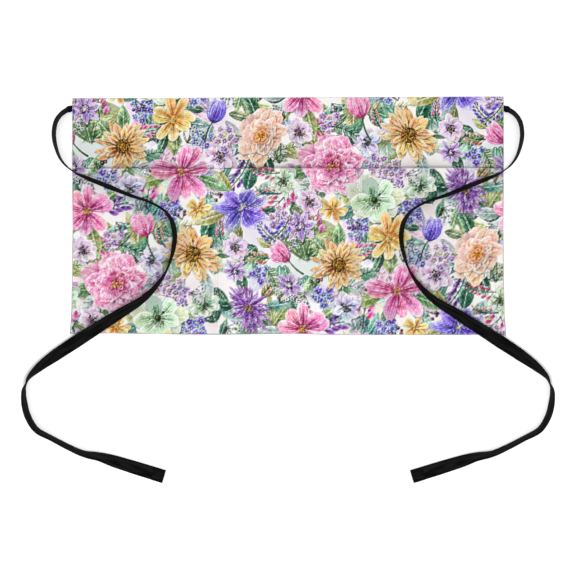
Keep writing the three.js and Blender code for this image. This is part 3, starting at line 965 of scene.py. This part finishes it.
sx, sy = HALF_WIDE - STITCH_IN, HALF_HIGH - STITCH_IN
above, below = POCKET_MOUTH + ROW_CLEAR, POCKET_MOUTH - ROW_CLEAR
panel_rows = [((-sx, above), (-sx, sy)), ((-sx, sy), (sx, sy)), ((sx, sy), (sx, above))]
for hand in (-1, 1):
    box = [(hand * x, y) for x, y in CORNER_BOX]
    panel_rows += zip(box, box[1:])
mouth_row = POCKET_MOUTH - MOUTH_HEM + MOUTH_ROW_IN
pocket_rows = [((-sx, below), (-sx, -sy)), ((-sx, -sy), (sx, -sy)), ((sx, -sy), (sx, below)),
               ((-sx, mouth_row), (sx, mouth_row))]
for seam in SEAMS:
    pocket_rows += [((x, below), (x, -sy)) for x in (seam - HALF_TWIN, seam + HALF_TWIN)]
threads = [
    thread_rows("panel_stitches", panel_rows, panel_top),
    thread_rows("pocket_stitches", pocket_rows, pocket_top),
]

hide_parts("apron_panel")
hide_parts("pocket_panel")

# %% [markdown]
# ## Materials
# One small function adds a node with its options and its inputs. A Mix node keeps its colour
# sockets after those for numbers and vectors, so they are reached by their places.

# %% Add a node
MIX_FACTOR, MIX_A, MIX_B, MIX_RESULT = 0, 6, 7, 2


def add(tree, kind, inputs=None, out=0, **options):
    """One output of a new node with its options set; an input is a value, or an output to link."""
    made = tree.nodes.new(kind)
    for name, value in options.items():
        setattr(made, name, value)
    for name, value in (inputs or {}).items():
        if isinstance(value, bpy.types.NodeSocket):
            tree.links.new(value, made.inputs[name])
        else:
            made.inputs[name].default_value = value
    return made.outputs[out]


def material_for(name, *pieces, **sockets):
    """A material with its main shader, given to pieces in their next slot."""
    made = bpy.data.materials.new(name)
    made.use_nodes = True
    shader = made.node_tree.nodes["Principled BSDF"]
    for socket, value in sockets.items():
        shader.inputs[socket.replace("_", " ")].default_value = value
    for piece in pieces:
        piece.data.materials.append(made)
    return made.node_tree, shader


print("materials that the frame brought:", len(bpy.data.materials))

# %% [markdown]
# ## Printed polyester canvas
# The cloth is a plain weave of spun polyester, printed on one side. The fibres scatter light
# evenly, so it is rough with a faint sheen. Real threads are about 0.5 mm apart, too fine for
# a pixel of 1.4 mm, so the weave is drawn at 1.1 mm, which shows close up. Besides its bump,
# the weave carries painted shade: the print is a little darker in its hollows.

# %% Printed front
WAVE_LENGTH = 2 * np.pi / 20
WEAVE_PITCH = 1.1 * MM
PRINT_DEPTH, RUBBED = 0.55, 0.12
FIBRE_BLOTS = 4 * MM


def weave(tree, place, pitch):
    """Crossing threads, 1 on the crowns and 0 in the hollows."""
    yarn = {"Vector": place, "Scale": WAVE_LENGTH / pitch}
    yarn |= {"Distortion": 0.5, "Detail": 1.0, "Detail Scale": 2.0}
    warp, weft = (add(tree, "ShaderNodeTexWave", yarn, "Fac", bands_direction=axis) for axis in "XY")
    return add(tree, "ShaderNodeMath", {0: warp, 1: weft}, operation="MULTIPLY")


tree, shader = material_for("printed_polyester_canvas", panel, pocket, Roughness=0.86,
                            Specular_IOR_Level=0.1, Sheen_Weight=0.03, Sheen_Roughness=0.5)
place = add(tree, "ShaderNodeTexCoord", out="Object")
raised = weave(tree, place, WEAVE_PITCH)
fibres = add(tree, "ShaderNodeTexNoise", {"Vector": place, "Scale": 1 / FIBRE_BLOTS, "Detail": 4.0}, "Fac")
colour = add(tree, "ShaderNodeAttribute", out="Color", attribute_name="print")
wear = add(tree, "ShaderNodeAttribute", out="Fac", attribute_name="wear")
# Painted shade: the print is a little darker in the weave's hollows and lighter on its crowns.
weave_shading = {"Value": raised, "To Min": 0.95 * PRINT_DEPTH, "To Max": 1.05 * PRINT_DEPTH}
tone = add(tree, "ShaderNodeMapRange", weave_shading)
fleck = add(tree, "ShaderNodeMapRange", {"Value": fibres, "To Min": 0.94, "To Max": 1.06})
both = add(tree, "ShaderNodeMath", {0: tone, 1: fleck}, operation="MULTIPLY")
weave_shaded = add(tree, "ShaderNodeVectorMath", {0: colour, "Scale": both}, operation="SCALE")
rubbed = add(tree, "ShaderNodeMath", {0: wear, 1: RUBBED}, operation="MULTIPLY")
shades = {MIX_FACTOR: rubbed, MIX_A: weave_shaded, MIX_B: (*linear("#bdbab8"), 1)}
paled = add(tree, "ShaderNodeMix", shades, MIX_RESULT, data_type="RGBA")
tree.links.new(paled, shader.inputs["Base Color"])
bump = add(tree, "ShaderNodeBump", {"Height": raised, "Strength": 0.35, "Distance": 0.15 * MM})
tree.links.new(bump, shader.inputs["Normal"])
print("weave pitch, mm:", WEAVE_PITCH / MM)

# %% [markdown]
# ## The cloth's reverse
# Print goes only part of the way through, so the back is nearly white with a faint, blurred
# cast of the colours in front. Its weave's hollows are painted a little darker as shade.

# %% Unprinted back
CAST_BLOTS = 40 * MM
CASTS = [(0.3, "#d9e3d8"), (0.45, "#efebe6"), (0.55, "#e6dfee"), (0.7, "#f0dde6")]
tree, shader = material_for("unprinted_reverse", panel, pocket, Roughness=0.9,
                            Specular_IOR_Level=0.1, Sheen_Weight=0.03)
place = add(tree, "ShaderNodeTexCoord", out="Object")
raised = weave(tree, place, WEAVE_PITCH)
cast = add(tree, "ShaderNodeTexNoise", {"Vector": place, "Scale": 1 / CAST_BLOTS, "Detail": 3.0}, "Fac")
shades = add(tree, "ShaderNodeValToRGB", {"Fac": cast}, "Color")
elements = shades.node.color_ramp.elements
for at, _ in CASTS[1:-1]:
    elements.new(at)
for element, (at, code) in zip(elements, CASTS):
    element.position, element.color = at, (*linear(code), 1)
# Painted shade: the back is a little darker in the weave's hollows.
tone = add(tree, "ShaderNodeMapRange", {"Value": raised, "To Min": 0.9, "To Max": 1.0})
weave_shaded = add(tree, "ShaderNodeVectorMath", {0: shades, "Scale": tone}, operation="SCALE")
tree.links.new(weave_shaded, shader.inputs["Base Color"])
print("colours in the reverse:", len(CASTS))

# %% [markdown]
# ## Black herringbone tape
# The ties are black polyester tape in a herringbone weave: short diagonal ribs that change
# direction in lanes along it. Black cloth shows its weave only as soft glints, so the ribs are
# a bump and a painted highlight, a small change of tone that is lighter on their crowns. Warp
# threads that took more or less dye leave faint streaks along the tape. All of it follows the
# tape's own UV map, in metres.

# %% Tape
RIB_PITCH, LANE, DIAGONAL = 1.5 * MM, 4.5 * MM, 1.41
STREAK_LONG, STREAK_WIDE, FUZZ = 35 * MM, 3.6 * MM, 3 * MM
tree, shader = material_for("black_herringbone_tape", *ties.values(),
                            Roughness=0.7, Specular_IOR_Level=0.03)
tape_uv = add(tree, "ShaderNodeUVMap", out="UV", uv_map="tape")
along, beside, _ = add(tree, "ShaderNodeSeparateXYZ", {0: tape_uv}).node.outputs
folded = add(tree, "ShaderNodeMath", {0: beside, 1: LANE}, operation="PINGPONG")
chevron = add(tree, "ShaderNodeCombineXYZ", {0: along, 1: folded})
twill = {"Vector": chevron, "Scale": 2 * WAVE_LENGTH / RIB_PITCH / DIAGONAL}
ribs = add(tree, "ShaderNodeTexWave", twill, "Fac", bands_direction="DIAGONAL")
fuzz = add(tree, "ShaderNodeTexNoise", {"Vector": tape_uv, "Scale": 1 / FUZZ, "Detail": 4.0}, "Fac")
# Painted highlight: the rib crowns are a little lighter, as soft glints.
mixed = add(tree, "ShaderNodeMath", {0: ribs, 1: fuzz}, operation="MULTIPLY")
shades = {MIX_FACTOR: mixed, MIX_A: (*linear("#040404"), 1), MIX_B: (*linear("#0f0e0e"), 1)}
tone = add(tree, "ShaderNodeMix", shades, MIX_RESULT, data_type="RGBA")
stretch = {0: tape_uv, 1: (1 / STREAK_LONG, 1 / STREAK_WIDE, 0)}
stretched = add(tree, "ShaderNodeVectorMath", stretch, operation="MULTIPLY")
dye = add(tree, "ShaderNodeTexNoise", {"Vector": stretched, "Scale": 1.0, "Detail": 2.0}, "Fac")
spread = {"Value": dye, "From Min": 0.4, "From Max": 0.6, "To Min": 0.1, "To Max": 2.4}
uneven = add(tree, "ShaderNodeMapRange", spread)
dyed = add(tree, "ShaderNodeVectorMath", {0: tone, "Scale": uneven}, operation="SCALE")
tree.links.new(dyed, shader.inputs["Base Color"])
bump = add(tree, "ShaderNodeBump", {"Height": ribs, "Strength": 0.5, "Distance": 0.2 * MM})
tree.links.new(bump, shader.inputs["Normal"])
print("rib pitch, mm:", RIB_PITCH / MM)

# %% [markdown]
# ## Sewing thread
# The thread is spun polyester, in a lilac grey that sinks into the print, and in black on the
# tapes. Its two plies catch the light in turn, which a fine diagonal band imitates.

# %% Thread
PLY = 0.7 * MM
THREADS = [  # name, pieces, glint, dark and light ply
    ("lilac_polyester_thread", threads, 0.2, "#837c82", "#9f989c"),
    ("black_polyester_thread", fold_threads, 0.02, "#000000", "#050505"),
]
for name, pieces, glint, dark, light in THREADS:
    tree, shader = material_for(name, *pieces, Roughness=0.6, Specular_IOR_Level=glint)
    place = add(tree, "ShaderNodeTexCoord", out="Object")
    twist = {"Vector": place, "Scale": 2 * WAVE_LENGTH / PLY}
    plies = add(tree, "ShaderNodeTexWave", twist, "Fac", bands_direction="DIAGONAL")
    shades = {MIX_FACTOR: plies, MIX_A: (*linear(dark), 1), MIX_B: (*linear(light), 1)}
    tone = add(tree, "ShaderNodeMix", shades, MIX_RESULT, data_type="RGBA")
    tree.links.new(tone, shader.inputs["Base Color"])
    print(name, "pieces:", len(pieces))

# %% [markdown]
# ## Table and light
# The photograph has a white table and light from all sides, with a weak steep lamp on the
# bottom side of the picture: the tapes' shadows fall a few millimetres towards the waist edge
# and are pale. A white world gives the even light and one large lamp gives the shadows.

# %% Floor, world and lamp
FLOOR_HALF, PAPER_SCALE = 20, 3.0
WORLD_STRENGTH = 1.4
LAMP_POWER, LAMP_SIDE, LAMP_AT, LAMP_AIM = 30, 0.3, (0.05, -0.45, 2.4), Vector((0, -0.1, 0))
bm = bmesh.new()
bmesh.ops.create_grid(bm, x_segments=1, y_segments=1, size=FLOOR_HALF)
floor_mesh = bpy.data.meshes.new("studio_floor")
bm.to_mesh(floor_mesh)
bm.free()
floor = bpy.data.objects.new("studio_floor", floor_mesh)
bpy.context.collection.objects.link(floor)
tree, shader = material_for("white_paper_floor", floor, Roughness=1.0, Specular_IOR_Level=0.0)
place = add(tree, "ShaderNodeTexCoord", out="Object")
paper = add(tree, "ShaderNodeTexNoise", {"Vector": place, "Scale": PAPER_SCALE}, "Fac")
shades = {MIX_FACTOR: paper, MIX_A: (*linear("#dfdfdf"), 1), MIX_B: (*linear("#e2e2e2"), 1)}
tone = add(tree, "ShaderNodeMix", shades, MIX_RESULT, data_type="RGBA")
tree.links.new(tone, shader.inputs["Base Color"])

world = bpy.data.worlds.new("studio")
world.use_nodes = True
sky = world.node_tree.nodes["Background"].inputs
sky["Color"].default_value = (1, 1, 1, 1)
sky["Strength"].default_value = WORLD_STRENGTH
bpy.context.scene.world = world

lamp = bpy.data.objects.new("soft_lamp", bpy.data.lights.new("soft_lamp", "AREA"))
lamp.data.energy, lamp.data.size = LAMP_POWER, LAMP_SIDE
lamp.location = LAMP_AT
lamp.rotation_euler = (LAMP_AIM - lamp.location).to_track_quat("-Z", "Y").to_euler()
bpy.context.collection.objects.link(lamp)
bpy.context.scene.view_settings.view_transform = "Standard"
print("lamp, W:", lamp.data.energy)
